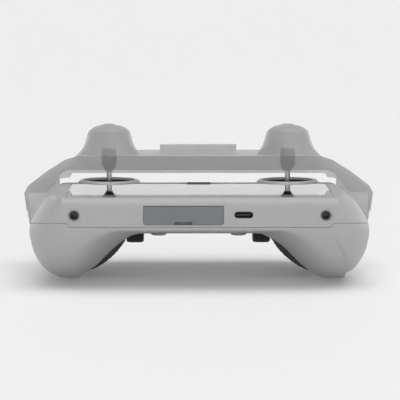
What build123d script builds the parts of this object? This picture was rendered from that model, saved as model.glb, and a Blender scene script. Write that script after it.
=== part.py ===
"""Handheld drone remote controller with a built-in screen and a clip-on stick guard.

Frame: X to the right, Y from the edge nearest the user to the far edge, Z up out of the screen.
The origin is under the middle of the outline, on the plane that the two grips rest on.
Lengths are millimetres. A station is a distance behind the flat front face.
"""
import os
from math import cos, pi, radians, sin

from build123d import *

# ---- overall sizes -------------------------------------------------------------------------
body_width = 168.4
body_depth = 123.7
deck_height = 45.4
wall = 2.2
fit_gap = 0.15            # between a fitted piece and its seat
slide_gap = 0.3           # between a moving piece and what it passes
pin_gap = 0.05            # radial, between a pin and its bore

# ---- body shape ----------------------------------------------------------------------------
front_half_width = 66.0   # half of the flat front face
front_sweep = 30.0        # station where the flanks reach full width
flat_deck_end = 83.0      # station where the deck starts to fall away
deck_fall_radius = 75.0
waist_drop = 16.7         # widest level, below the deck
deck_edge_front = 64.0    # half width of the flat deck at the front
deck_edge_growth = 6.5
front_edge_radius = 4.5
grip_inset = 19.2         # lowest line of a grip, in from the widest point
grip_full_start = 58.0
grip_full_end = 82.0
grip_tail = 37.0          # length over which the grip rises to the underside
front_face_drop = 15.0    # lower edge of the flat front face
underside_front = 16.6    # depth of the underside below the deck, at the front
underside_middle = 23.5
underside_rear = 27.8
grip_root_half = 29.0     # half width of the flat underside between the grips
rear_corner = 26.0        # length of the rounded rear corners
part_line_mid = 14.0      # joint between the shells, below the deck
part_line_side = 12.0
part_line_rear = 16.0
tab_half_width = 63.5
seam_gap, seam_depth = 0.3, 0.7    # open line between the shells

# ---- screen --------------------------------------------------------------------------------
glass_width, glass_depth, glass_thick, glass_corner = 130.6, 72.5, 1.1, 3.0
glass_station = 5.0
glass_ledge = 3.5
display_thick = 3.2
frame_plate_thick = 1.2

# ---- sticks --------------------------------------------------------------------------------
stick_spacing = 93.5
stick_from_rear = 28.7
well_radius = 13.55
ring_radius = 16.25
ring_top = 0.8            # above the deck
ring_height = 1.2
well_depth = 8.0
pivot_depth = 11.5
gimbal_half = 14.5
gimbal_wall = 2.5
gimbal_bottom = 16.2
yoke_half_x, yoke_half_y, yoke_bar, yoke_thick = 9.0, 7.4, 2.8, 4.0
yoke_pin_radius, stick_pin_radius = 1.5, 1.25
dome_radius, dome_wall, dome_low = 10.6, 1.0, 5.0
dome_hole_radius = 12.3
knob_radius, knob_top, knob_shoulder, knob_foot = 3.9, 17.0, 9.2, 5.3
neck_radius = 1.35

# ---- front face ----------------------------------------------------------------------------
door_centre_x, door_width, door_height, door_thick, door_corner = -7.95, 38.9, 9.2, 1.6, 1.8
door_top = 3.75           # below the deck
door_pin_radius = 0.6
door_pocket = 3.8
nail_width, nail_height = 8.6, 1.5
usb_x, usb_drop, usb_width, usb_height, usb_length = 21.2, 8.1, 9.2, 3.3, 7.4
strap_x, strap_drop, strap_bore, strap_outer, strap_length = 61.0, 8.5, 1.5, 2.3, 6.5
strap_sink_radius, strap_sink = 3.15, 1.2

# ---- controls ------------------------------------------------------------------------------
mode_width, mode_depth, mode_travel, mode_proud, mode_from_glass = 12.2, 3.6, 4.0, 0.5, 3.4
deck_button_x, deck_button_radius = 19.5, 4.6
deck_button_from_rear = 29.5
back_button_x, back_button_radius, back_button_proud, back_button_from_rear = 20.8, 4.25, 0.9, 38.7
edge_button_x, edge_button_radius, edge_button_drop, edge_button_proud = 56.0, 4.2, 15.5, 0.5
dial_x, dial_width, dial_radius, dial_from_rear, dial_bottom = 33.6, 9.3, 9.2, 10.5, 34.3
dial_axle_radius, bracket_thick, bracket_gap = 1.0, 1.6, 0.5
vent_width, vent_length, vent_slots, vent_slot, vent_from_rear = 30.0, 16.0, 7, 2.0, 25.0
led_count, led_pitch, led_radius, led_from_rear = 4, 4.0, 0.8, 19.0
pad_x, pad_station, pad_drop, pad_slope = 47.0, 74.0, 35.5, 40.7    # middle and lean of a grip pad
pad_along, pad_length, pad_depth, pad_proud = 20.0, 33.0, 10.0, 2.4

# ---- inside --------------------------------------------------------------------------------
board_drop, board_thick, board_half_width, board_front, board_back = 9.9, 1.2, 34.0, 6.0, 62.0
cell_radius, cell_length, cell_drop, cell_front = 9.1, 65.0, 28.8, 29.0
screw_radius, screw_head_radius, screw_head, insert_radius, insert_length = 1.0, 1.9, 1.4, 1.6, 3.5
boss_radius = 2.8

# ---- stick guard ---------------------------------------------------------------------------
guard_wall = 1.5
guard_front_from_rear = 46.7
guard_back_from_rear = 3.4
guard_side_gap = 4.5
guard_taper = 8.0         # how much narrower each side is at the far end
guard_shelf_taper = 13.0  # and each side of its flat top
guard_skirt_bottom = 5.7  # above the deck
guard_rear_bottom = 3.5
guard_shelf = 14.5
guard_shelf_half = 63.0
guard_tip_drop = 21.0
bell_top, bell_crease = 30.0, 26.6
bridge_width, bridge_height, bridge_depth = 40.8, 3.1, 9.0
bar_half_width, bell_half_width = 27.0, 66.6    # where the guard is divided

half_width = body_width / 2
y_front, y_rear = -body_depth / 2, body_depth / 2
stick_x, stick_y = stick_spacing / 2, y_rear - stick_from_rear
glass_y0 = y_front + glass_station
glass_y1 = glass_y0 + glass_depth
os.makedirs("parts", exist_ok=True)


def up(drop):
    """Height of a level that lies this far below the deck."""
    return deck_height - drop


def at(station):
    """Y of a station."""
    return y_front + station


def block(x0, x1, y0, y1, z0, z1):
    """Box between two corners."""
    return Pos((x0 + x1) / 2, (y0 + y1) / 2, (z0 + z1) / 2) * Box(x1 - x0, y1 - y0, z1 - z0)


def post(x, y, z0, z1, radius):
    """Upright cylinder."""
    return Pos(x, y, (z0 + z1) / 2) * Cylinder(radius, z1 - z0)


def rod_x(x0, x1, y, z, radius):
    """Cylinder along X."""
    return Pos((x0 + x1) / 2, y, z) * Rot(0, 90, 0) * Cylinder(radius, x1 - x0)


def rod_y(x, y0, y1, z, radius):
    """Cylinder along Y."""
    return Pos(x, (y0 + y1) / 2, z) * Rot(90, 0, 0) * Cylinder(radius, y1 - y0)


def other_side(shape):
    """Mirror image across the middle plane."""
    return mirror(shape, about=Plane.YZ)


def save(name, shape):
    """Write one node."""
    solids = shape.solids()
    export_step(solids[0] if len(solids) == 1 else Compound(children=list(solids)), f"parts/{name}.step")


def save_pair(name, right):
    """Write a right-hand piece and its mirror image."""
    save("right_" + name, right)
    save("left_" + name, other_side(right))


# ---- body envelope -------------------------------------------------------------------------
def ease(t):
    """Cosine step from 0 to 1."""
    return (1 - cos(pi * min(max(t, 0.0), 1.0))) / 2


def swell(t, power=2.0):
    """Quarter of a rounded corner, from 0 to 1, steep at the start."""
    return (1 - (1 - min(max(t, 0.0), 1.0)) ** power) ** (1 / power)


def body_section(station, inset):
    """Levels and half widths of the cross section at a station, drawn in by inset."""
    from_rear = body_depth - station
    width = front_half_width + (half_width - front_half_width) * swell(station / front_sweep)
    width -= 4.2 * max((station - 55) / 45, 0) ** 2
    width -= 27.0 * (1 - swell(from_rear / rear_corner, 2.2))
    taper = max(half_width - width, 0) * ease((station - 38) / 50)
    top = -(max(station - flat_deck_end, 0) ** 2) / (2 * deck_fall_radius)
    top -= 2.5 * (1 - swell(from_rear / 4))
    under = -front_face_drop - (underside_front - front_face_drop) * swell(station / 6)
    under -= (underside_middle - underside_front) * min(max((station - 6) / 54, 0), 1)
    under -= (underside_rear - underside_middle) * ease((station - 60) / 40)
    under += 8.5 * (1 - swell(from_rear / 13))
    grip_front = front_face_drop + 0.2
    grip = -grip_front - (deck_height - grip_front) * swell(station / grip_full_start)
    grip = under - 0.4 + (grip - under + 0.4) * (1 - ease((station - grip_full_end) / grip_tail))
    lowest_x = half_width - grip_inset - 5 * (1 - swell(station / 10))
    return {
        "width": width - inset,
        "top": top - inset,
        "deck_edge": deck_edge_front + deck_edge_growth * swell(station / front_sweep)
        + half_width - 84.2 - taper - inset / 2,
        "waist": -9 - (waist_drop - 9) * swell(station / 20),
        "lowest_x": lowest_x - taper * ease((station - 90) / 30),
        "lowest": grip + inset,
        "root_x": grip_root_half + 9 * (1 - ease(station / 40)) + 0.9 * inset,
        "under": under + inset,
    }


def body_outline(station, inset):
    """Closed wire of the cross section: shoulders, grips and the hollow between them."""
    s = body_section(station, inset)
    steps, shoulder_power, grip_power = 6, 1.4, 2.3
    quarter = [pi / 2 * i / steps for i in range(steps + 1)]
    flank = [(s["deck_edge"] + (s["width"] - s["deck_edge"]) * sin(a) ** (2 / shoulder_power),
              s["waist"] + (s["top"] - s["waist"]) * abs(cos(a)) ** (2 / shoulder_power))
             for a in quarter]
    flank += [(s["lowest_x"] + (s["width"] - s["lowest_x"]) * abs(cos(a)) ** (2 / grip_power),
               s["waist"] + (s["lowest"] - s["waist"]) * sin(a) ** (2 / grip_power))
              for a in quarter[1:]]
    inner = [(s["lowest_x"] + (s["root_x"] - s["lowest_x"]) * i / steps,
              s["lowest"] + (s["under"] - s["lowest"]) * ease(i / steps)) for i in range(steps + 1)]

    def curve(points, side, leave, arrive):
        spots = [Vector(side * x, at(station), deck_height + z) for x, z in points]
        return Edge.make_spline(spots, tangents=[Vector(leave, 0, 0), Vector(arrive, 0, 0)])

    def line(x, z):
        return Edge.make_line((x, at(station), deck_height + z), (-x, at(station), deck_height + z))

    return Wire([
        line(-s["deck_edge"], s["top"]),
        curve(flank, 1, 1, -1),
        curve(inner, 1, -1, -1),
        line(s["root_x"], s["under"]),
        curve(inner[::-1], -1, -1, -1),
        curve(flank[::-1], -1, -1, 1),
    ])


def body_form(inset):
    """Smooth solid through the cross sections."""
    spread = [0, 0.008, 0.024, 0.057, 0.113, 0.194, 0.307, 0.445, 0.566,
              0.66, 0.73, 0.80, 0.87, 0.935, 0.978, 1]
    length = body_depth - 2 * inset
    return Solid.make_loft([body_outline(inset + length * k, inset) for k in spread])


def along_x(profile, reach):
    """Solid of a closed (station, height) profile, centred on the middle plane."""
    face = make_face(Polyline(*[(at(s), z) for s, z in profile], close=True))
    return extrude(Plane.YZ * face, amount=reach, both=True)


envelope = body_form(0)
envelope -= block(-half_width - 5, half_width + 5, y_front - 5, y_rear + 5, -5, 0)
envelope -= block(-half_width - 5, half_width + 5, y_rear, y_rear + 5, -5, deck_height + 5)
edge_tool = block(-half_width, half_width, at(-1), at(front_edge_radius), up(front_edge_radius), up(-1))
edge_tool -= rod_x(-half_width, half_width, at(front_edge_radius), up(front_edge_radius),
                   front_edge_radius)
envelope -= edge_tool
hollow = body_form(wall)
proud_form = body_form(-edge_button_proud)

far = body_depth + 5
upper_zone = along_x([(-5, up(part_line_side)), (0, up(part_line_side)), (30, up(part_line_rear - 1)),
                      (60, up(part_line_rear)), (far, up(part_line_rear)), (far, up(-10)),
                      (-5, up(-10))], half_width + 5)
tab = Plane.XZ.offset(-y_front + 5) * make_face(Polyline(
    (-tab_half_width, up(part_line_mid)), (tab_half_width, up(part_line_mid)),
    (tab_half_width + 2, up(part_line_side - 2)), (-tab_half_width - 2, up(part_line_side - 2)),
    close=True))
upper_zone += extrude(tab, amount=-(5 + wall + 3))
shells = envelope - hollow


def both(shape):
    """A right-hand solid and its mirror image together."""
    return [shape, other_side(shape)]


# ---- places that several pieces share ------------------------------------------------------
door_x0, door_x1 = door_centre_x - door_width / 2, door_centre_x + door_width / 2
door_z1 = up(door_top)
door_z0 = door_z1 - door_height
hinge_y, hinge_z = y_front + door_thick / 2, door_z1 - door_thick / 2
well_base = up(well_depth)
pivot_z = up(pivot_depth)
mode_y = glass_y1 + mode_from_glass
mode_x = 0
deck_button_y = y_rear - deck_button_from_rear
back_button_y = y_rear - back_button_from_rear
edge_button_z = up(edge_button_drop)
dial_y, dial_z = y_rear - dial_from_rear, up(dial_bottom) + dial_radius
cheek_in = dial_width / 2 + bracket_gap
axle_reach = cheek_in + bracket_thick
vent_y = y_rear - vent_from_rear
led_y = y_rear - led_from_rear
plate_top = up(glass_thick + fit_gap + display_thick + 0.3)
plate_bottom = plate_top - frame_plate_thick
board_top = up(board_drop)
board_bottom = board_top - board_thick
cell_x, cell_z = half_width - grip_inset, up(cell_drop)
screw_x = 25.0
screw_stations = [12.0, 60.0]
rear_screw_x, rear_screw_y = 12.0, y_rear - 9.5


def glass_plate(grow, z0, z1):
    """Rounded plate of the screen's outline, grown all round."""
    corner = max(glass_corner + grow, 0.8)
    outline = RectangleRounded(glass_width + 2 * grow, glass_depth + 2 * grow, corner)
    return Pos(0, (glass_y0 + glass_y1) / 2, z0) * extrude(outline, amount=z1 - z0)


def front_slot(x, z, width, height, corner, y0, y1):
    """Rounded bar pointing away from the user, for openings and plugs in the front face."""
    outline = RectangleRounded(width, height, corner)
    return Pos(x, y0, z) * extrude(Plane.XZ * outline, amount=-(y1 - y0))


# ---- upper shell ---------------------------------------------------------------------------
front_shell = shells & upper_zone
inner_top = hollow & upper_zone
strap_y1 = y_front + strap_length + strap_sink
for boss in both(rod_y(strap_x, y_front + wall / 2, strap_y1 + 0.8, up(strap_drop), strap_outer + 1.5)):
    front_shell += boss & inner_top
pocket_wall = 1.2
front_shell += block(door_x0 - pocket_wall, door_x1 + pocket_wall, y_front + wall / 2,
                     y_front + door_pocket + pocket_wall, door_z0 - pocket_wall, door_z1 + 0.6) & inner_top
for collar in both(post(stick_x, stick_y, well_base, up(ring_height - ring_top), ring_radius)):
    front_shell += collar
front_shell -= glass_plate(fit_gap, up(glass_thick), up(-1))
front_shell -= glass_plate(-glass_ledge, up(wall + 3), up(-1))
for tool in both(post(stick_x, stick_y, up(wall + 12), up(-5), well_radius)
                 + post(stick_x, stick_y, up(ring_height - ring_top), up(-5), ring_radius + fit_gap)):
    front_shell -= tool
for tool in both(rod_y(strap_x, y_front - 1, strap_y1, up(strap_drop), strap_outer)):
    front_shell -= tool
sink = Pos(strap_x, y_front, up(strap_drop)) * Rot(-90, 0, 0) * Cone(
    strap_sink_radius, strap_outer, strap_sink, align=(Align.CENTER, Align.CENTER, Align.MIN))
for tool in both(sink):
    front_shell -= tool
front_shell -= front_slot(door_centre_x, (door_z0 + door_z1) / 2, door_width + 2 * fit_gap,
                          door_height + 2 * fit_gap, door_corner, y_front - 1, y_front + door_pocket)
front_shell -= block(door_x0 - fit_gap, door_x1 + fit_gap, y_front - 1, y_front + door_pocket,
                     (door_z0 + door_z1) / 2, door_z1 + fit_gap)
card_slot_z = board_top + 1.0
front_shell -= block(door_centre_x - 6.2, door_centre_x + 6.2, y_front, y_front + 8,
                     card_slot_z - 0.8, card_slot_z + 0.8)
front_shell -= front_slot(usb_x, up(usb_drop), usb_width, usb_height, usb_height / 2 - 0.01,
                          y_front - 1, y_front + wall + 2)
pin_reach = 1.4
front_shell -= rod_x(door_x0 - pin_reach, door_x1 + pin_reach, hinge_y, hinge_z, door_pin_radius)
front_shell -= block(mode_x - mode_width / 2 - mode_travel - slide_gap,
                     mode_x + mode_width / 2 + mode_travel + slide_gap,
                     mode_y - mode_depth / 2 - slide_gap, mode_y + mode_depth / 2 + slide_gap,
                     up(wall + 3), up(-5))
for tool in both(post(deck_button_x, deck_button_y, up(12), up(-5), deck_button_radius + slide_gap)):
    front_shell -= tool
led_spots = [(led_pitch * (i - (led_count - 1) / 2), led_y) for i in range(led_count)]
for x, y in led_spots:
    front_shell -= post(x, y, up(16), up(-5), led_radius)
for tool in both(rod_y(edge_button_x, y_rear - 20, y_rear + 2, edge_button_z,
                       edge_button_radius + slide_gap)):
    front_shell -= tool

# ---- lower shell ---------------------------------------------------------------------------
rear_shell = shells - upper_zone
seam = Pos(0, 0, -seam_gap) * upper_zone - upper_zone
rear_shell -= seam & (envelope - body_form(seam_depth))
inner_low = hollow - upper_zone
screw_spots = [(x, at(s)) for s in screw_stations for x in (-screw_x, screw_x)]
rear_spots = [(-rear_screw_x, rear_screw_y), (rear_screw_x, rear_screw_y)]
for x, y in screw_spots:
    rear_shell += post(x, y, 0, board_bottom - 0.4, boss_radius) & inner_low
for x, y in screw_spots:
    rear_shell -= post(x, y, 0, deck_height, screw_radius + 0.1)
seat_z = {spot: deck_height + body_section(spot[1] - y_front, 0)["under"] + screw_head + 0.4
          for spot in screw_spots}
for (x, y), seat in seat_z.items():
    rear_shell -= post(x, y, 0, seat, screw_head_radius + 0.15)
for tool in both(post(back_button_x, back_button_y, 0, up(20), back_button_radius + slide_gap)):
    rear_shell -= tool
dial_slot = rod_x(dial_x - dial_width / 2 - 0.4, dial_x + dial_width / 2 + 0.4, dial_y, dial_z,
                  dial_radius + 0.5)
for tool in both(dial_slot):
    rear_shell -= tool
    front_shell -= tool
for tool in both(rod_x(dial_x - axle_reach - slide_gap, dial_x + axle_reach + slide_gap, dial_y, dial_z,
                       dial_axle_radius + slide_gap)):
    rear_shell -= tool
for tool in both(rod_y(edge_button_x, y_rear - 20, y_rear + 2, edge_button_z,
                       edge_button_radius + slide_gap)):
    rear_shell -= tool
vent_zone = block(-vent_width / 2, vent_width / 2, vent_y - vent_length / 2, vent_y + vent_length / 2,
                  0, up(18))
rear_shell -= vent_zone
speaker_y = at(36.0)
for i in range(-2, 3):
    for j in range(-1, 2):
        rear_shell -= post(2.2 * i, speaker_y + 2.2 * j, 0, up(17), 0.6)
save("front_shell", front_shell)
save("rear_shell", rear_shell)

# ---- screen --------------------------------------------------------------------------------
save("screen_glass", glass_plate(0, up(glass_thick), deck_height))
display_gap = 0.3
save("display_module", glass_plate(-glass_ledge - display_gap, up(glass_thick + display_thick),
                                   up(glass_thick)))
frame_plate = glass_plate(-glass_ledge - display_gap, plate_bottom, plate_top)
for x, y in screw_spots:
    frame_plate += post(x, y, board_top + 0.1, plate_bottom, boss_radius)
    frame_plate -= post(x, y, board_top - 1, board_top + 0.1 + insert_length, insert_radius)
save("mid_frame", frame_plate)
save("screw_inserts", Compound(children=[
    post(x, y, board_top + 0.1, board_top + 0.1 + insert_length, insert_radius)
    - post(x, y, board_top, plate_top, screw_radius) for x, y in screw_spots]))
screws = []
for (x, y), seat in seat_z.items():
    screw = post(x, y, seat - screw_head, seat, screw_head_radius)
    screw += post(x, y, seat, board_top + insert_length - 0.3, screw_radius - 0.02)
    screw -= Pos(x, y, seat - screw_head) * extrude(RegularPolygon(0.9, 6), amount=0.8)
    screws.append(screw)
save("housing_screws", Compound(children=screws))

# ---- front face fittings -------------------------------------------------------------------
save("strap_inserts", Compound(children=both(
    rod_y(strap_x, y_front + strap_sink, strap_y1, up(strap_drop), strap_outer)
    - rod_y(strap_x, y_front, strap_y1 + 1, up(strap_drop), strap_bore))))
usb = front_slot(usb_x, up(usb_drop), usb_width, usb_height, usb_height / 2 - 0.01, y_front + 0.5,
                 y_front + 0.5 + usb_length)
usb -= front_slot(usb_x, up(usb_drop), usb_width - 0.7, usb_height - 0.7, usb_height / 2 - 0.36,
                  y_front, y_front + usb_length - 0.6)
usb += block(usb_x - 3.3, usb_x + 3.3, y_front + 1.3, y_front + usb_length, up(usb_drop) - 0.35,
             up(usb_drop) + 0.35)
save("usb_c_socket", usb)
card = block(door_centre_x - 7, door_centre_x + 7, y_front + door_pocket + pocket_wall + 0.2,
             y_front + 20, board_top, board_top + 2.0)
card -= block(door_centre_x - 5.7, door_centre_x + 5.7, y_front, y_front + 18.5, card_slot_z - 0.5,
              card_slot_z + 0.5)
save("card_socket", card)
save("door_hinge_pin", rod_x(door_x0 - pin_reach, door_x1 + pin_reach, hinge_y, hinge_z,
                             door_pin_radius))
door = block(door_x0, door_x1, y_front, y_front + door_thick, door_z0, hinge_z)
door = fillet(door.edges().filter_by(Axis.Y).group_by(Axis.Z)[0], door_corner)
door += rod_x(door_x0, door_x1, hinge_y, hinge_z, door_thick / 2)
door -= rod_x(door_x0 - 1, door_x1 + 1, hinge_y, hinge_z, door_pin_radius + pin_gap)
door -= block(door_centre_x - nail_width / 2, door_centre_x + nail_width / 2, y_front - 1,
              y_front + door_thick + 1, door_z0 - 1, door_z0 + nail_height)
save("card_door", door)

# ---- sticks --------------------------------------------------------------------------------
ring = post(stick_x, stick_y, up(ring_height - ring_top), up(-ring_top), ring_radius)
ring = chamfer(ring.edges().group_by(Axis.Z)[-1], 1.0, 1.1)
ring -= post(stick_x, stick_y, 0, 2 * deck_height, well_radius)
save_pair("stick_ring", ring)

g = gimbal_half
gimbal = block(stick_x - g, stick_x + g, stick_y - g, stick_y + g, up(gimbal_bottom), well_base)
inner = g - gimbal_wall
gimbal -= block(stick_x - inner, stick_x + inner, stick_y - inner, stick_y + inner, 0, well_base - 1.2)
gimbal += post(stick_x, stick_y, well_base, up(ring_height - ring_top), well_radius - fit_gap)
gimbal -= post(stick_x, stick_y, 0, 2 * deck_height, dome_hole_radius)
gimbal -= rod_x(stick_x - g - 1, stick_x + g + 1, stick_y, pivot_z, yoke_pin_radius + pin_gap)
save_pair("gimbal_frame", gimbal)

h = yoke_thick / 2
yoke = block(stick_x - yoke_half_x, stick_x + yoke_half_x, stick_y - yoke_half_y,
             stick_y + yoke_half_y, pivot_z - h, pivot_z + h)
yoke -= block(stick_x - yoke_half_x + yoke_bar, stick_x + yoke_half_x - yoke_bar,
              stick_y - yoke_half_y + yoke_bar, stick_y + yoke_half_y - yoke_bar, 0, deck_height)
for side in (-1, 1):
    ends = sorted((stick_x + side * yoke_half_x, stick_x + side * (g - 0.3)))
    yoke += rod_x(ends[0], ends[1], stick_y, pivot_z, yoke_pin_radius)
yoke -= rod_y(stick_x, stick_y - yoke_half_y - 1, stick_y + yoke_half_y + 1, pivot_z,
              stick_pin_radius + pin_gap)
save_pair("yoke", yoke)

core = yoke_half_y - yoke_bar - slide_gap
base = block(stick_x - 4.5, stick_x + 4.5, stick_y - core, stick_y + core, pivot_z - 2.2, pivot_z + 2.2)
base += rod_y(stick_x, stick_y - yoke_half_y + 0.1, stick_y + yoke_half_y - 0.1, pivot_z,
              stick_pin_radius)
base += post(stick_x, stick_y, pivot_z, up(-knob_foot), neck_radius)
save_pair("stick_base", base)

dome = Pos(stick_x, stick_y, pivot_z) * (Sphere(dome_radius) - Sphere(dome_radius - dome_wall))
dome &= post(stick_x, stick_y, pivot_z + dome_low, deck_height + 5, dome_radius)
dome -= post(stick_x, stick_y, pivot_z, deck_height + 5, neck_radius)
save_pair("stick_dome", dome)

knob_line = Polyline((neck_radius, up(-knob_foot)), (neck_radius + 0.45, up(-knob_foot)))
flare = Spline((neck_radius + 0.45, up(-knob_foot)), (2.4, up(-knob_foot - 1.2)),
               (knob_radius, up(-knob_shoulder)), tangents=[(0.05, 1), (0.12, 1)])
knob_edge = Polyline((knob_radius, up(-knob_shoulder)), (knob_radius, up(-knob_top + 0.7)),
                     (knob_radius - 0.7, up(-knob_top)), (2.6, up(-knob_top)), (0, up(-knob_top + 0.8)),
                     (0, up(-knob_foot - 1)), (neck_radius, up(-knob_foot - 1)),
                     (neck_radius, up(-knob_foot)))
profile = make_face(Wire([*knob_line.edges(), *flare.edges(), *knob_edge.edges()]))
knob = Pos(stick_x, stick_y, 0) * revolve(Plane.XZ * profile, Axis.Z)
knob -= post(stick_x, stick_y, 0, up(-knob_foot - 1), neck_radius)
save_pair("stick_knob", knob)

# ---- deck controls -------------------------------------------------------------------------
mode_top = deck_height + mode_proud
slider = block(mode_x - mode_width / 2, mode_x + mode_width / 2, mode_y - mode_depth / 2,
               mode_y + mode_depth / 2, up(wall + 1.4), mode_top)
slider = fillet(slider.edges().group_by(Axis.Z)[-1], 0.4)
save("mode_switch", slider)
save("mode_switch_module", block(mode_x - 9, mode_x + 9, mode_y - 2.6, mode_y + 2.6,
                                 up(wall + 5.0), up(wall + 1.6)))


def deck_button(x):
    """Button whose face continues the deck around it."""
    return envelope & post(x, deck_button_y, up(wall + 3.5), up(-1), deck_button_radius)


save("pause_button", deck_button(-deck_button_x))
save("power_button", deck_button(deck_button_x))
save("led_light_pipes", Compound(children=[
    envelope & post(x, y, up(wall + 4.5), up(-1), led_radius - 0.02) for x, y in led_spots]))

# ---- buttons underneath and on the far edge ------------------------------------------------
back_button_z = deck_height + body_section(back_button_y - y_front, 0)["under"] - back_button_proud
back_button = post(back_button_x, back_button_y, back_button_z, back_button_z + back_button_proud + 5.0,
                   back_button_radius)
back_button = fillet(back_button.edges().group_by(Axis.Z)[0], 1.2)
save("c1_button", other_side(back_button))
save("c2_button", back_button)
edge_button = proud_form & rod_y(edge_button_x, y_rear - 8, y_rear + 2, edge_button_z,
                                 edge_button_radius)
edge_button &= block(0, half_width, 0, y_rear, 0, deck_height)
save("shutter_button", edge_button)
save("record_button", other_side(edge_button))
edge_face_y = edge_button.bounding_box().min.Y

# ---- dials ---------------------------------------------------------------------------------
dial = rod_x(dial_x - dial_width / 2, dial_x + dial_width / 2, dial_y, dial_z, dial_radius)
dial = fillet(dial.edges().filter_by(GeomType.CIRCLE), 1.0)
dial -= rod_x(0, dial_x + dial_width, dial_y, dial_z, dial_axle_radius)
save_pair("dial", dial)
save_pair("dial_axle", rod_x(dial_x - axle_reach, dial_x + axle_reach, dial_y, dial_z,
                             dial_axle_radius))
bracket_top = up(gimbal_bottom + 0.6)
cheeks = []
for side in (-1, 1):
    x = sorted((dial_x + side * cheek_in, dial_x + side * axle_reach))
    plate = block(x[0], x[1], dial_y - 3.2, dial_y + 3.2, dial_z - dial_radius, bracket_top)
    plate -= rod_x(x[0] - 1, x[1] + 1, dial_y, dial_z, dial_axle_radius + pin_gap)
    cheeks += [plate & hollow, other_side(plate) & hollow]
save("dial_brackets", Compound(children=cheeks))

# ---- underside fittings --------------------------------------------------------------------
vent = shells & block(-vent_width / 2 + fit_gap, vent_width / 2 - fit_gap,
                      vent_y - vent_length / 2 + fit_gap, vent_y + vent_length / 2 - fit_gap, 0, up(18))
slot_pitch = vent_length / (vent_slots + 1)
for i in range(vent_slots):
    y = vent_y + slot_pitch * (i - (vent_slots - 1) / 2)
    vent -= block(-vent_width / 2 + 2, vent_width / 2 - 2, y - slot_pitch * 0.3, y + slot_pitch * 0.3,
                  0, up(18))
save("vent_grille", vent)
pad_form = scale(Rot(90, 0, 0) * Sphere(pad_depth), by=(pad_along / pad_depth, pad_length / pad_depth, 1))
pad_sunk = pad_depth - pad_proud
pad_lean = radians(pad_slope)
pad_form = Pos(pad_x + pad_sunk * sin(pad_lean), at(pad_station), up(pad_drop)
               + pad_sunk * cos(pad_lean)) * Rot(0, pad_slope, 0) * pad_form
save("right_grip_pad", (pad_form - envelope).solids().sort_by(SortBy.VOLUME)[-1])
save("left_grip_pad", (other_side(pad_form) - envelope).solids().sort_by(SortBy.VOLUME)[-1])

# ---- inside --------------------------------------------------------------------------------
board = block(-board_half_width, board_half_width, at(board_front), at(board_back), board_bottom,
              board_top)
for x, y in screw_spots:
    board -= post(x, y, 0, deck_height, screw_radius + 0.3)
board += block(-16, 16, at(30), at(50), board_bottom - 1.6, board_bottom)
save("main_board", board)
spreader = block(-20, 20, at(28), at(56), board_bottom - 2.7, board_bottom - 1.7)
save("heat_spreader", spreader)
cells = rod_y(cell_x, at(cell_front), at(cell_front + cell_length), cell_z, cell_radius)
cells = fillet(cells.edges().filter_by(GeomType.CIRCLE), 1.0)
cells += rod_y(cell_x, at(cell_front) - 1.0, at(cell_front) + 1, cell_z, 3.0)
save_pair("battery_cell", cells)
fan_y, fan_half, fan_high, fan_drop = at(80), 14.0, 6.0, 15.2
fan = block(-fan_half, fan_half, fan_y - fan_half, fan_y + fan_half, up(fan_drop + fan_high),
            up(fan_drop))
fan -= post(0, fan_y, up(fan_drop + fan_high - 0.8), up(fan_drop) + 1, fan_half - 1.2)
fan -= block(-fan_half + 2, fan_half - 2, fan_y, fan_y + fan_half + 1, up(fan_drop + fan_high - 0.8),
             up(fan_drop + 0.8))
fan += post(0, fan_y, up(fan_drop + fan_high - 0.4), up(fan_drop + 1.4), 1.0)
save("fan_housing", fan)
rotor = post(0, fan_y, up(fan_drop + fan_high - 1.2), up(fan_drop + 0.6), 4.5)
for i in range(11):
    blade = block(4.0, fan_half - 1.8, fan_y - 0.35, fan_y + 0.35, up(fan_drop + fan_high - 1.2),
                  up(fan_drop + 1.0))
    rotor += Pos(0, fan_y, 0) * Rot(0, 0, 360 * i / 11) * Pos(0, -fan_y, 0) * blade
rotor -= post(0, fan_y, 0, up(fan_drop + 1.2), 1.0 + pin_gap)
save("fan_rotor", rotor)
speaker_floor = deck_height + body_section(30.0, wall)["under"]
save("speaker", block(-7, 7, speaker_y - 5, speaker_y + 5, speaker_floor + 0.1, speaker_floor + 3.1))
save("antennas", Compound(children=both(
    block(12, 26, y_rear - 7.8, y_rear - 7.0, up(18), up(10)))))
switches = []
for x in (-deck_button_x, deck_button_x):
    switches.append(block(x - 2.5, x + 2.5, deck_button_y - 2.5, deck_button_y + 2.5, up(wall + 6.5),
                          up(wall + 4.3)))
for x in (-back_button_x, back_button_x):
    z = back_button_z + back_button_proud + 5.8
    switches.append(block(x - 2.5, x + 2.5, back_button_y - 2.5, back_button_y + 2.5, z, z + 2))
for x in (-edge_button_x, edge_button_x):
    switches.append(block(x - 2.0, x + 2.0, edge_face_y - 3.2, edge_face_y - 1.2,
                          edge_button_z - 2.0, edge_button_z + 2.0))
save("button_switches", Compound(children=switches))

# ---- stick guard ---------------------------------------------------------------------------
guard_y0, guard_y1 = y_rear - guard_front_from_rear, y_rear - guard_back_from_rear
side_top = half_width + guard_side_gap + guard_wall


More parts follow.
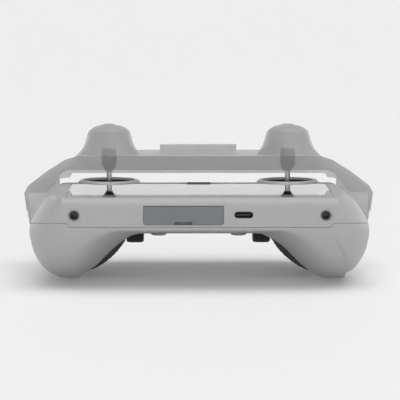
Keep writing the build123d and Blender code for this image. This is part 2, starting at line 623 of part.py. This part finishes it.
def guard_wire(grow, y):
    """Front view of the guard's outer skin at one Y, drawn in by a negative grow."""
    share = (y - guard_y0) / (guard_y1 - guard_y0)
    reach = side_top + grow - guard_taper * share
    flat = guard_shelf_half + grow / 3 - guard_shelf_taper * share
    low = up(guard_tip_drop + (0 if grow == 0 else 5))
    side = [(flat, up(-guard_shelf - grow)),
            (flat + 0.22 * (reach - flat), up(-guard_shelf + 1.9 - grow)),
            (flat + 0.56 * (reach - flat), up(-guard_shelf + 7.7 - grow * 0.9)),
            (reach - 2.0, up(0.8 - grow * 0.6)), (reach, up(4.6)), (reach - 2.2, low)]
    points = [Vector(-x, y, z) for x, z in side[::-1]] + [Vector(x, y, z) for x, z in side]
    return Wire.make_polygon(points, close=True)


def guard_solid(grow, y0, y1):
    """Arch over the deck whose sides reach down the flanks and close in towards the far end."""
    return Solid.make_loft([guard_wire(grow, y0), guard_wire(grow, y1)], ruled=True)


def bell(grow):
    """One stick bell: rounded sections that narrow upwards in a hollow curve."""
    rings = [(guard_skirt_bottom - 3, 19.5, 19.6), (13.7, 17.0, 19.0), (16.7, 14.4, 17.4),
             (21.0, 12.4, 15.2), (bell_crease, 10.5, 12.8)]
    sections = [Pos(0, 0, up(-z)) * Ellipse(a + grow, b + grow).edges()[0] for z, a, b in rings]
    body = Solid.make_loft([Wire([e]) for e in sections])
    low, high = bell_crease - 1.0 + grow, bell_top + grow
    cap = [(low, 10.4), (bell_crease + grow, 9.9), (bell_crease + grow + 1.9, 7.4), (high, 2.4)]
    shrink = 1 + grow / 10.5
    tops = [Wire([(Pos(0, 0, up(-z)) * Ellipse(a * shrink, a * shrink * 12.8 / 10.5)).edges()[0]])
            for z, a in cap]
    return Pos(stick_x, guard_y0 + 18.6, 0) * (body + Solid.make_loft(tops))


guard = guard_solid(0, guard_y0, guard_y1)
for shape in both(bell(0)):
    guard += shape & block(-100, 100, guard_y0, guard_y1, up(-guard_skirt_bottom), up(-50))
guard_hollow = guard_solid(-guard_wall, guard_y0 + guard_wall, guard_y1 - guard_wall)
for shape in both(bell(-guard_wall)):
    guard_hollow += shape & block(-100, 100, guard_y0 + guard_wall, guard_y1 - guard_wall,
                                  up(0), up(-50))
guard -= guard_hollow
step = [(0, -guard_skirt_bottom), (65.2, -guard_skirt_bottom), (66.4, -3.6), (72.1, -2.8),
        (73.4, -1.2), (75.0, 1.0), (76.8, 3.0), (79.0, 4.4), (half_width + guard_side_gap, 4.4)]
face_cut = [(-x, up(z)) for x, z in step[:0:-1]] + [(x, up(z)) for x, z in step]
edge_x = half_width + guard_side_gap
front_cut = make_face(Polyline(*face_cut, (edge_x, 0), (-edge_x, 0), close=True))
guard -= Pos(0, guard_y0 - 1, 0) * extrude(Plane.XZ * front_cut, amount=-(guard_wall + 1.5))
rear_low = up(-guard_rear_bottom)
rear_cut = make_face(Polyline((-74, rear_low - 2), (-70, rear_low), (70, rear_low), (74, rear_low - 2),
                              (74, 0), (-74, 0), close=True))
guard -= Pos(0, guard_y1 - guard_wall - 0.5, 0) * extrude(Plane.XZ * rear_cut, amount=-20)
guard += block(-bridge_width / 2, bridge_width / 2, guard_y1 - bridge_depth, guard_y1,
               up(-guard_shelf + 0.5), up(-guard_shelf - bridge_height))
guard_zones = {"guard_bar": (-bar_half_width, bar_half_width),
               "right_guard_bell": (bar_half_width, bell_half_width),
               "left_guard_bell": (-bell_half_width, -bar_half_width),
               "right_guard_arm": (bell_half_width, side_top + 1),
               "left_guard_arm": (-side_top - 1, -bell_half_width)}
for name, (x0, x1) in guard_zones.items():
    save(name, guard & block(x0, x1, guard_y0 - 1, guard_y1 + 1, 0, 2 * deck_height))
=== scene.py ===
"""Looks for a handheld drone controller with a built-in screen and a clip-on stick guard.

The file is laid out as an add-on and run as a script. Its operators dress the fixed model's
parts in materials, add the fine pieces that repeat, and set up the stage.
"""
import math

import bmesh
import bpy
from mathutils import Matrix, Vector


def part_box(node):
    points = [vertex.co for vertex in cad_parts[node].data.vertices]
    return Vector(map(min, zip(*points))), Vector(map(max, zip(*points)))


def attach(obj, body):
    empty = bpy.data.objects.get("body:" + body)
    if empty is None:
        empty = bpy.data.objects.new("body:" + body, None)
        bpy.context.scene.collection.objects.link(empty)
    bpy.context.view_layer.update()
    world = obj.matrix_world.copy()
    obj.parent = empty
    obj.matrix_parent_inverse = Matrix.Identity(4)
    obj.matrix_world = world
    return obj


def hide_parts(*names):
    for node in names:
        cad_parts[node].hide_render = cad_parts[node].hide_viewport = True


bl_info = {
    "name": "Drone Controller Looks",
    "version": (1, 0, 0),
    "blender": (4, 5, 0),
    "location": "View3D > Sidebar > Controller",
    "description": "Finishes a handheld drone controller and its stick guard",
    "category": "Object",
}

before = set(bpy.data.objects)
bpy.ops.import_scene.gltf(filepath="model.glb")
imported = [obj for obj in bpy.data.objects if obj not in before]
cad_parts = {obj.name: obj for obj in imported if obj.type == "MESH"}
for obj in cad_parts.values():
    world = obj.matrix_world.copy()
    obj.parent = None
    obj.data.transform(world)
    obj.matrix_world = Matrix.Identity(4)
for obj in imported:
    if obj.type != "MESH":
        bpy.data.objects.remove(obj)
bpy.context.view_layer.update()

# Ribs and dots, in metres
KNOB_RIB_DEPTH, KNOB_RIB_WIDTH, KNOB_RIB_HEIGHT = 0.00030, 0.00034, 0.0046
KNOB_RIB_DROP = 0.0010         # top of the ribs, below the knob's top
KNOB_RIB_SINK = 0.00005
DIAL_RIB_DEPTH, DIAL_RIB_WIDTH = 0.0005, 0.0007
DIAL_RIB_SHARE = 0.72          # of the dial's width
DIAL_RIB_SINK = 0.0001
DOT_SEED = 3
DOT_DENSITY = 600000.0         # most dots to a square metre, before the spacing thins them
DOT_HEIGHT = 0.55              # height of a dot, as a share of its radius
DOT_FACING = 0.45              # least cosine between a pad's surface and its outward direction
PAD_OUTWARD = 0.7              # share of that direction that is sideways, and that is down

# Guard
WELD = 3e-6                    # reach within which the guard's parts are joined
FLAT_ANGLE = math.radians(0.4)
SMOOTH_ANGLE = math.radians(24)
BEVEL_ANGLE = math.radians(30)
GUARD_ROUGHNESS, GUARD_GRAIN = 0.34, 0.0006
BELL_INSET = 0.004             # end of the line that the skins face away from, in from the bells

# Stage, in metres and radians
FLOOR_HALF = 20.0
SURROUND_LOW, SURROUND_HIGH = 0.1, 0.22    # height band over which the surround darkens
SUN_SPREAD, SUN_AIM = math.radians(70), (-0.15, 0.08, -1.0)
SOFTBOX_WIDTH, SOFTBOX_HEIGHT = 0.3, 0.5
SOFTBOX_SIDE, SOFTBOX_BACK, SOFTBOX_UP = -0.1, 1.9, 1.15
CAMERA_LENS = 204.9            # millimetres
CAMERA_BACK, CAMERA_UP = 1.095, 0.106      # from the front edge, and above the deck
CAMERA_DOWN, CAMERA_TURN = math.radians(5.57), math.radians(0.5)


# ---- settings ------------------------------------------------------------------------------
class ShellFinish(bpy.types.PropertyGroup):
    """Moulded plastic of the two shells."""

    colour: bpy.props.FloatVectorProperty(
        name="Shell colour", description="Light grey of the moulded shells", subtype="COLOR",
        size=3, min=0.0, max=1.0, default=(0.385, 0.388, 0.391))
    roughness: bpy.props.FloatProperty(
        name="Shell roughness", description="How matt the shells are", subtype="FACTOR",
        min=0.0, max=1.0, default=0.46)
    grain: bpy.props.FloatProperty(
        name="Grain size", description="Size of the moulded spark grain", unit="LENGTH",
        default=0.00035)


class GuardFinish(bpy.types.PropertyGroup):
    """Translucent stick guard."""

    colour: bpy.props.FloatVectorProperty(
        name="Guard colour", description="Smoky grey of the guard", subtype="COLOR",
        size=3, min=0.0, max=1.0, default=(0.39, 0.393, 0.398))
    opacity: bpy.props.FloatProperty(
        name="Outer skin opacity", description="Share of light that the outer skin stops",
        subtype="FACTOR", min=0.0, max=1.0, default=0.6)
    inner_opacity: bpy.props.FloatProperty(
        name="Inner skin opacity", description="Share of light that the inner skin stops",
        subtype="FACTOR", min=0.0, max=1.0, default=0.18)
    edge_round: bpy.props.FloatProperty(
        name="Edge rounding", description="Size of the rounding on the moulded edges",
        unit="LENGTH", default=0.0004)


class GripSizes(bpy.types.PropertyGroup):
    """Fine raised detail on the parts that fingers turn and hold."""

    knob_ribs: bpy.props.IntProperty(
        name="Knob ribs", description="Ribs round each stick knob", default=30, min=8)
    dial_ribs: bpy.props.IntProperty(
        name="Dial ribs", description="Ribs round each dial", default=36, min=8)
    dot_spacing: bpy.props.FloatProperty(
        name="Dot spacing", description="Least distance between the dots of a grip pad",
        unit="LENGTH", default=0.0017)
    dot_radius: bpy.props.FloatProperty(
        name="Dot radius", description="Radius of a grip pad's dots", unit="LENGTH",
        default=0.0005)


class StageLight(bpy.types.PropertyGroup):
    """Studio floor, backdrop and lights."""

    horizon: bpy.props.FloatProperty(
        name="Surround", description="Brightness of the white surround low down", default=2.15,
        min=0.0)
    ceiling: bpy.props.FloatProperty(
        name="Ceiling", description="Brightness of the surround overhead", default=0.3, min=0.0)
    key: bpy.props.FloatProperty(
        name="Key light", description="Strength of the broad overhead light", default=2.0, min=0.0)
    front: bpy.props.FloatProperty(
        name="Front softbox", description="Power of the soft panel behind the viewer, in watts",
        default=3.6, min=0.0)
    floor_glow: bpy.props.FloatProperty(
        name="Floor glow", description="Light given off by the pale table", default=0.12, min=0.0)


# ---- material building ---------------------------------------------------------------------
def add(tree, kind, **values):
    """A node with its properties and its unlinked inputs set."""
    node = tree.nodes.new(kind)
    for key, value in values.items():
        if key.startswith("in_"):
            node.inputs[key[3:].replace("_", " ")].default_value = value
        else:
            setattr(node, key, value)
    return node


def moulded(name, colour, roughness, grain, bump=0.12, metallic=0.0, spread=0.05, **shader):
    """Solid material with a fine surface grain and a slight drift of tone and gloss.

    With no spread, the colour is the same all over.
    """
    mat = bpy.data.materials.new(name)
    mat.use_nodes = True
    tree = mat.node_tree
    tree.nodes.clear()
    out = add(tree, "ShaderNodeOutputMaterial")
    skin = add(tree, "ShaderNodeBsdfPrincipled", in_Metallic=metallic)
    for key, value in shader.items():
        skin.inputs[key.replace("_", " ")].default_value = value
    place = add(tree, "ShaderNodeTexCoord")
    fine = add(tree, "ShaderNodeTexNoise", in_Scale=1.0 / grain, in_Detail=2.0, in_Roughness=0.6)
    gloss = add(tree, "ShaderNodeMapRange", in_To_Min=roughness - 0.05, in_To_Max=roughness + 0.05)
    relief = add(tree, "ShaderNodeBump", in_Strength=bump, in_Distance=grain * 0.3)
    link = tree.links.new
    link(place.outputs["Object"], fine.inputs["Vector"])
    link(fine.outputs["Fac"], gloss.inputs["Value"])
    link(fine.outputs["Fac"], relief.inputs["Height"])
    if spread:
        broad = add(tree, "ShaderNodeTexNoise", in_Scale=26.0, in_Detail=3.0, in_Roughness=0.5)
        tone = add(tree, "ShaderNodeMapRange", in_To_Min=1.0 - spread, in_To_Max=1.0 + spread)
        tint = add(tree, "ShaderNodeMix", data_type="RGBA", blend_type="MULTIPLY")
        tint.inputs["Factor"].default_value = 1.0
        tint.inputs["A"].default_value = (*colour, 1.0)
        link(place.outputs["Object"], broad.inputs["Vector"])
        link(broad.outputs["Fac"], tone.inputs["Value"])
        link(tone.outputs["Result"], tint.inputs["B"])
        link(tint.outputs["Result"], skin.inputs["Base Color"])
    else:
        skin.inputs["Base Color"].default_value = (*colour, 1.0)
    link(gloss.outputs["Result"], skin.inputs["Roughness"])
    link(relief.outputs["Normal"], skin.inputs["Normal"])
    link(skin.outputs["BSDF"], out.inputs["Surface"])
    return mat


def see_through(name, colour, roughness, alpha, grain):
    """Moulded material that lets part of the light through each skin."""
    mat = moulded(name, colour, roughness, grain, bump=0.05, spread=0.03)
    skin = next(n for n in mat.node_tree.nodes if n.type == "BSDF_PRINCIPLED")
    skin.inputs["Alpha"].default_value = alpha
    return mat


def dress(mat, *names):
    """Give carried-over parts one material."""
    for name in names:
        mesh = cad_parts[name].data
        mesh.materials.clear()
        mesh.materials.append(mat)


def pair(name):
    """Left and right part names."""
    return ["left_" + name, "right_" + name]


# ---- geometry nodes ------------------------------------------------------------------------
def new_tree(name, inputs):
    """Geometry node tree with a geometry input, named inputs and a geometry output."""
    tree = bpy.data.node_groups.new(name, "GeometryNodeTree")
    tree.is_modifier = True
    face = tree.interface
    face.new_socket("Geometry", in_out="INPUT", socket_type="NodeSocketGeometry")
    for label, kind, value in inputs:
        socket = face.new_socket(label, in_out="INPUT", socket_type=kind)
        if value is not None:
            socket.default_value = value
    face.new_socket("Geometry", in_out="OUTPUT", socket_type="NodeSocketGeometry")
    return tree, tree.nodes.new("NodeGroupInput"), tree.nodes.new("NodeGroupOutput")


def ribs_tree():
    """Bars set round a ring about X, Y or Z: the ribs of a knob or a dial."""
    tree, given, result = new_tree("rib_ring", [
        ("Count", "NodeSocketInt", 24), ("Radius", "NodeSocketFloat", 0.004),
        ("Bar", "NodeSocketVector", (0.001, 0.001, 0.001)), ("Centre", "NodeSocketVector", None),
        ("Turn", "NodeSocketRotation", None), ("Material", "NodeSocketMaterial", None)])
    link = tree.links.new
    ring = add(tree, "GeometryNodeMeshCircle", fill_type="NONE")
    bar = add(tree, "GeometryNodeMeshCube", in_Vertices_X=2, in_Vertices_Y=3, in_Vertices_Z=3)
    spots = add(tree, "GeometryNodeMeshToPoints")
    where = add(tree, "GeometryNodeInputPosition")
    aim = add(tree, "FunctionNodeAlignRotationToVector", axis="X")
    place = add(tree, "GeometryNodeInstanceOnPoints")
    turn = add(tree, "GeometryNodeTransform")
    real = add(tree, "GeometryNodeRealizeInstances")
    paint = add(tree, "GeometryNodeSetMaterial")
    link(given.outputs["Count"], ring.inputs["Vertices"])
    link(given.outputs["Radius"], ring.inputs["Radius"])
    link(given.outputs["Bar"], bar.inputs["Size"])
    link(ring.outputs["Mesh"], spots.inputs["Mesh"])
    link(where.outputs["Position"], aim.inputs["Vector"])
    link(spots.outputs["Points"], place.inputs["Points"])
    link(bar.outputs["Mesh"], place.inputs["Instance"])
    link(aim.outputs["Rotation"], place.inputs["Rotation"])
    link(place.outputs["Instances"], turn.inputs["Geometry"])
    link(given.outputs["Centre"], turn.inputs["Translation"])
    link(given.outputs["Turn"], turn.inputs["Rotation"])
    link(turn.outputs["Geometry"], real.inputs["Geometry"])
    link(real.outputs["Geometry"], paint.inputs["Geometry"])
    link(given.outputs["Material"], paint.inputs["Material"])
    link(paint.outputs["Geometry"], result.inputs["Geometry"])
    return tree


def dots_tree():
    """Low round dots spread over a surface: the texture of a grip pad."""
    tree, given, result = new_tree("grip_dots", [
        ("Spacing", "NodeSocketFloat", 0.0017), ("Dot", "NodeSocketFloat", 0.0005),
        ("Seed", "NodeSocketInt", DOT_SEED), ("Facing", "NodeSocketVector", (0.0, 0.0, -1.0)),
        ("Material", "NodeSocketMaterial", None)])
    link = tree.links.new
    normal = add(tree, "GeometryNodeInputNormal")
    towards = add(tree, "ShaderNodeVectorMath", operation="DOT_PRODUCT")
    outer = add(tree, "FunctionNodeCompare", data_type="FLOAT", operation="GREATER_THAN",
                in_B=DOT_FACING)
    spread = add(tree, "GeometryNodeDistributePointsOnFaces", distribute_method="POISSON")
    spread.inputs["Density Max"].default_value = DOT_DENSITY
    ball = add(tree, "GeometryNodeMeshIcoSphere", in_Subdivisions=1)
    flat = add(tree, "GeometryNodeTransform", in_Scale=(1.0, 1.0, DOT_HEIGHT))
    place = add(tree, "GeometryNodeInstanceOnPoints")
    real = add(tree, "GeometryNodeRealizeInstances")
    paint = add(tree, "GeometryNodeSetMaterial")
    link(normal.outputs["Normal"], towards.inputs[0])
    link(given.outputs["Facing"], towards.inputs[1])
    link(towards.outputs["Value"], outer.inputs["A"])
    link(given.outputs["Geometry"], spread.inputs["Mesh"])
    link(outer.outputs["Result"], spread.inputs["Selection"])
    link(given.outputs["Spacing"], spread.inputs["Distance Min"])
    link(given.outputs["Seed"], spread.inputs["Seed"])
    link(given.outputs["Dot"], ball.inputs["Radius"])
    link(ball.outputs["Mesh"], flat.inputs["Geometry"])
    link(spread.outputs["Points"], place.inputs["Points"])
    link(spread.outputs["Rotation"], place.inputs["Rotation"])
    link(flat.outputs["Geometry"], place.inputs["Instance"])
    link(place.outputs["Instances"], real.inputs["Geometry"])
    link(real.outputs["Geometry"], paint.inputs["Geometry"])
    link(given.outputs["Material"], paint.inputs["Material"])
    link(paint.outputs["Geometry"], result.inputs["Geometry"])
    return tree


def grown(name, tree, base, **values):
    """Run a node tree on a mesh and return its result as a plain mesh object."""
    holder = bpy.data.objects.new(name + "_seed", base)
    bpy.context.scene.collection.objects.link(holder)
    modifier = holder.modifiers.new("grow", "NODES")
    modifier.node_group = tree
    sockets = {s.name: s.identifier for s in tree.interface.items_tree if s.in_out == "INPUT"}
    for key, value in values.items():
        modifier[sockets[key]] = value
    holder.update_tag()
    graph = bpy.context.evaluated_depsgraph_get()
    mesh = bpy.data.meshes.new_from_object(holder.evaluated_get(graph), depsgraph=graph)
    holder.modifiers.clear()
    bpy.data.objects.remove(holder)
    if not len(mesh.polygons):
        raise RuntimeError(name + " came out empty")
    mesh.name = name
    piece = bpy.data.objects.new(name, mesh)
    bpy.context.scene.collection.objects.link(piece)
    return piece


def mounted(piece, body):
    """Fix a new piece to its body."""
    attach(piece, body)
    return piece


# ---- operators -----------------------------------------------------------------------------
class DressShells(bpy.types.Operator):
    """Finish the shells, the well rings, the buttons, the card door and the light pipes"""

    bl_idname = "controller.dress_shells"
    bl_label = "Shells"

    def execute(self, context):
        look = context.scene.shell_finish
        shell = moulded("light_grey_shell", look.colour, look.roughness, look.grain, spread=0.02)
        dress(shell, "front_shell", "rear_shell")
        # The well rings are really the shell's grey; here they are painted much lighter, as a
        # painted highlight for the white their front lips reflect.
        dress(moulded("ring_grey_painted_highlight", (0.66, 0.663, 0.666), 0.3, look.grain), *pair("stick_ring"))
        keys = moulded("button_grey", (0.42, 0.425, 0.43), 0.42, look.grain, spread=0.02)
        dress(keys, "c1_button", "c2_button", "pause_button", "power_button", "record_button",
              "shutter_button")
        door = moulded("card_door_grey", (0.17, 0.174, 0.178), 0.5, look.grain, spread=0.03)
        dress(door, "card_door")
        dress(moulded("light_pipe", (0.8, 0.8, 0.8), 0.3, 0.0008, bump=0.03), "led_light_pipes")
        return {"FINISHED"}


class DressScreen(bpy.types.Operator):
    """Finish the screen glass and the display behind it"""

    bl_idname = "controller.dress_screen"
    bl_label = "Screen"

    def execute(self, context):
        glass = moulded("screen_glass_black", (0.012, 0.013, 0.015), 0.05, 0.004, bump=0.003,
                        spread=0.02, IOR=1.8, Coat_Weight=1.0, Coat_Roughness=0.03)
        dress(glass, "screen_glass")
        dress(moulded("display_tray", (0.05, 0.05, 0.055), 0.35, 0.001), "display_module")
        return {"FINISHED"}


class DressInside(bpy.types.Operator):
    """Finish the parts inside the case and the metal fittings"""

    bl_idname = "controller.dress_inside"
    bl_label = "Inner parts and fittings"

    def execute(self, context):
        black = moulded("black_plastic", (0.025, 0.025, 0.027), 0.5, 0.0004)
        dress(black, "mode_switch", "mode_switch_module", "fan_housing", "fan_rotor", "speaker",
              "vent_grille", "dial_brackets", "card_socket", *pair("stick_dome"),
              *pair("gimbal_frame"), *pair("yoke"))
        steel = moulded("turned_steel", (0.36, 0.36, 0.37), 0.28, 0.0006, bump=0.05, metallic=1.0)
        dress(steel, "door_hinge_pin", "antennas", "button_switches",
              *pair("stick_base"), *pair("dial_axle"))
        # Black steel for the housing screws and the USB socket. The strap inserts get it too, as
        # painted shade for the recessed dimples round the strap holes.
        dark_steel_and_painted_shade = moulded("black_screw_and_painted_shade", (0.05, 0.05, 0.052), 0.35, 0.0006, bump=0.05,
                             metallic=1.0)
        dress(dark_steel_and_painted_shade, "housing_screws", "usb_c_socket", "strap_inserts")
        brass = moulded("insert_brass", (0.62, 0.42, 0.16), 0.32, 0.0006, metallic=1.0)
        dress(brass, "screw_inserts")
        cast = moulded("cast_frame", (0.46, 0.465, 0.47), 0.5, 0.0006, metallic=0.9)
        dress(cast, "mid_frame", "heat_spreader")
        dress(moulded("board_mask", (0.015, 0.11, 0.05), 0.3, 0.001), "main_board")
        dress(moulded("cell_wrap", (0.03, 0.12, 0.3), 0.25, 0.002, bump=0.03),
              *pair("battery_cell"))
        return {"FINISHED"}


class MakeSticks(bpy.types.Operator):
    """Finish the stick knobs and add their fine ribs"""

    bl_idname = "controller.make_sticks"
    bl_label = "Stick knobs"

    def execute(self, context):
        sizes = context.scene.grip_sizes
        rubber = moulded("knob_black", (0.022, 0.022, 0.024), 0.55, 0.0003)
        dress(rubber, *pair("stick_knob"))
        tree = ribs_tree()
        for side in ("left", "right"):
            low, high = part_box(side + "_stick_knob")
            radius = (high.x - low.x) / 2
            piece = grown(side + "_knob_ribs", tree, bpy.data.meshes.new("empty"),
                          Count=sizes.knob_ribs, Radius=radius - KNOB_RIB_SINK,
                          Bar=(KNOB_RIB_DEPTH, KNOB_RIB_WIDTH, KNOB_RIB_HEIGHT),
                          Centre=((low.x + high.x) / 2, (low.y + high.y) / 2,
                                  high.z - KNOB_RIB_DROP - KNOB_RIB_HEIGHT / 2),
                          Material=rubber)
            mounted(piece, side + "_stick")
        return {"FINISHED"}


class MakeDials(bpy.types.Operator):
    """Finish the two dials and add the ribs round them"""

    bl_idname = "controller.make_dials"
    bl_label = "Dials"

    def execute(self, context):
        sizes = context.scene.grip_sizes
        rubber = moulded("dial_black", (0.028, 0.028, 0.03), 0.6, 0.0004)
        dress(rubber, *pair("dial"))
        tree = ribs_tree()
        for side in ("left", "right"):
            low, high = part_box(side + "_dial")
            radius = (high.z - low.z) / 2
            piece = grown(side + "_dial_ribs", tree, bpy.data.meshes.new("empty"),
                          Count=sizes.dial_ribs, Radius=radius - DIAL_RIB_SINK,
                          Bar=(DIAL_RIB_DEPTH, DIAL_RIB_WIDTH, (high.x - low.x) * DIAL_RIB_SHARE),
                          Centre=tuple((low + high) / 2), Turn=(0.0, math.pi / 2, 0.0),
                          Material=rubber)
            mounted(piece, side + "_dial")
        return {"FINISHED"}


class MakeGripPads(bpy.types.Operator):
    """Finish the rubber grip pads and add their raised dots"""

    bl_idname = "controller.make_grip_pads"
    bl_label = "Grip pads"

    def execute(self, context):
        sizes = context.scene.grip_sizes
        rubber = moulded("grip_rubber_dark", (0.04, 0.04, 0.042), 0.7, 0.0005)
        dress(rubber, *pair("grip_pad"))
        tree = dots_tree()
        for side, sign in (("left", 1.0), ("right", -1.0)):
            piece = grown(side + "_grip_dots", tree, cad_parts[side + "_grip_pad"].data,
                          Spacing=sizes.dot_spacing, Dot=sizes.dot_radius, Seed=DOT_SEED,
                          Facing=(sign * PAD_OUTWARD, 0.0, -PAD_OUTWARD), Material=rubber)
            mounted(piece, "controller")
        return {"FINISHED"}


class MakeGuard(bpy.types.Operator):
    """Join the guard's moulding into one translucent piece with soft edges"""

    bl_idname = "controller.make_guard"
    bl_label = "Stick guard"

    def execute(self, context):
        look = context.scene.guard_finish
        parts = ["guard_bar", *pair("guard_bell"), *pair("guard_arm")]
        form = bmesh.new()
        for name in parts:
            form.from_mesh(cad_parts[name].data)
        bmesh.ops.remove_doubles(form, verts=form.verts, dist=WELD)
        joints = [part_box(name)[i].x for name in pair("guard_bell") for i in (0, 1)]
        inside = [f for f in form.faces
                  if any(all(abs(v.co.x - x) < WELD for v in f.verts) for x in joints)]
        bmesh.ops.delete(form, geom=inside, context="FACES")
        bmesh.ops.remove_doubles(form, verts=form.verts, dist=WELD)
        bmesh.ops.dissolve_limit(form, angle_limit=FLAT_ANGLE, verts=form.verts,
                                 edges=form.edges)
        low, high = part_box("guard_bar")
        reach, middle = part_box("right_guard_bell")[1].x - BELL_INSET, (low.y + high.y) / 2
        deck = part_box("screen_glass")[1].z
        form.normal_update()
        for face in form.faces:
            spot = face.calc_center_median()
            core = Vector((max(-reach, min(reach, spot.x)), middle, deck))
            face.material_index = 0 if face.normal.dot(spot - core) > 0 else 1
            face.smooth = True
        for edge in form.edges:
            edge.smooth = len(edge.link_faces) == 2 and edge.calc_face_angle() < SMOOTH_ANGLE
        mesh = bpy.data.meshes.new("clip_on_guard")
        form.to_mesh(mesh)
        form.free()
        for label, share in (("guard_outer_skin", look.opacity),
                             ("guard_inner_skin", look.inner_opacity)):
            mesh.materials.append(see_through(label, look.colour, GUARD_ROUGHNESS, share,
                                              GUARD_GRAIN))
        guard = bpy.data.objects.new("clip_on_guard", mesh)
        context.scene.collection.objects.link(guard)
        soft = guard.modifiers.new("soft_edges", "BEVEL")
        soft.width, soft.segments, soft.limit_method = look.edge_round, 2, "ANGLE"
        soft.angle_limit = BEVEL_ANGLE
        mounted(guard, "stick_guard")
        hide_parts(*parts)
        return {"FINISHED"}


class SetStage(bpy.types.Operator):
    """Set the floor, the white surround, the lights and the camera"""

    bl_idname = "controller.set_stage"
    bl_label = "Stage"

    def execute(self, context):
        scene, light = context.scene, context.scene.stage_light
        floor_mesh = bpy.data.meshes.new("studio_floor")
        form = bmesh.new()
        bmesh.ops.create_grid(form, x_segments=8, y_segments=8, size=FLOOR_HALF)
        form.to_mesh(floor_mesh)
        form.free()
        floor = bpy.data.objects.new("studio_floor", floor_mesh)
        scene.collection.objects.link(floor)
        floor_mesh.materials.append(moulded(
            "pale_floor", (0.75, 0.75, 0.75), 0.7, 0.01, bump=0.0, spread=0.0,
            Emission_Color=(1.0, 1.0, 1.0, 1.0), Emission_Strength=light.floor_glow))
        world = bpy.data.worlds.new("white_surround")
        world.use_nodes = True
        tree = world.node_tree
        back = tree.nodes["Background"]
        place = add(tree, "ShaderNodeTexCoord")
        split = add(tree, "ShaderNodeSeparateXYZ")
        level = add(tree, "ShaderNodeMapRange", in_From_Min=SURROUND_LOW,
                    in_From_Max=SURROUND_HIGH)
        level.inputs["To Min"].default_value = light.horizon
        level.inputs["To Max"].default_value = light.ceiling
        tree.links.new(place.outputs["Generated"], split.inputs["Vector"])
        tree.links.new(split.outputs["Z"], level.inputs["Value"])
        tree.links.new(level.outputs["Result"], back.inputs["Strength"])
        back.inputs["Color"].default_value = (1.0, 1.0, 1.0, 1.0)
        scene.world = world
        lamp = bpy.data.lights.new("overhead_light", "SUN")
        lamp.energy, lamp.angle = light.key, SUN_SPREAD
        shone = bpy.data.objects.new("overhead_light", lamp)
        shone.rotation_euler = Vector(SUN_AIM).to_track_quat("-Z", "Y").to_euler()
        scene.collection.objects.link(shone)
        front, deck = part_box("front_shell")[0].y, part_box("screen_glass")[1].z
        panel = bpy.data.lights.new("front_softbox", "AREA")
        panel.shape, panel.energy = "RECTANGLE", light.front
        panel.size, panel.size_y = SOFTBOX_WIDTH, SOFTBOX_HEIGHT
        hung = bpy.data.objects.new("front_softbox", panel)
        hung.location = (SOFTBOX_SIDE, front - SOFTBOX_BACK, deck + SOFTBOX_UP)
        toward = Vector((0.0, 0.0, deck)) - Vector(hung.location)
        hung.rotation_euler = toward.to_track_quat("-Z", "Y").to_euler()
        scene.collection.objects.link(hung)
        scene.view_settings.view_transform = "Standard"
        camera = bpy.data.cameras.new("viewer")
        camera.lens = CAMERA_LENS
        eye = bpy.data.objects.new("viewer", camera)
        eye.location = (-CAMERA_BACK * math.tan(CAMERA_TURN), front - CAMERA_BACK,
                        deck + CAMERA_UP)
        eye.rotation_euler = (math.pi / 2 - CAMERA_DOWN, 0.0, -CAMERA_TURN)
        scene.collection.objects.link(eye)
        scene.camera = eye
        return {"FINISHED"}


class ControllerPanel(bpy.types.Panel):
    """Buttons and sizes for the controller's looks"""

    bl_idname = "VIEW3D_PT_controller_looks"
    bl_label = "Controller looks"
    bl_space_type = "VIEW_3D"
    bl_region_type = "UI"
    bl_category = "Controller"

    def draw(self, context):
        for operator in OPERATORS:
            self.layout.operator(operator.bl_idname)
        for group in SETTINGS:
            box = self.layout.box()
            for key in SETTINGS[group].__annotations__:
                box.prop(getattr(context.scene, group), key)


SETTINGS = {"shell_finish": ShellFinish, "guard_finish": GuardFinish, "grip_sizes": GripSizes,
            "stage_light": StageLight}
OPERATORS = [DressShells, DressScreen, DressInside, MakeSticks, MakeDials, MakeGripPads,
             MakeGuard, SetStage]


def register():
    """Add the settings, the operators and the panel."""
    for group, kind in SETTINGS.items():
        bpy.utils.register_class(kind)
        setattr(bpy.types.Scene, group, bpy.props.PointerProperty(type=kind))
    for kind in (*OPERATORS, ControllerPanel):
        bpy.utils.register_class(kind)


def unregister():
    """Take them away again."""
    for kind in (ControllerPanel, *reversed(OPERATORS)):
        bpy.utils.unregister_class(kind)
    for group, kind in SETTINGS.items():
        delattr(bpy.types.Scene, group)
        bpy.utils.unregister_class(kind)


def main():
    """Run every step in order."""
    register()
    for operator in OPERATORS:
        family, name = operator.bl_idname.split(".")
        getattr(getattr(bpy.ops, family), name)()


if __name__ == "__main__":
    main()
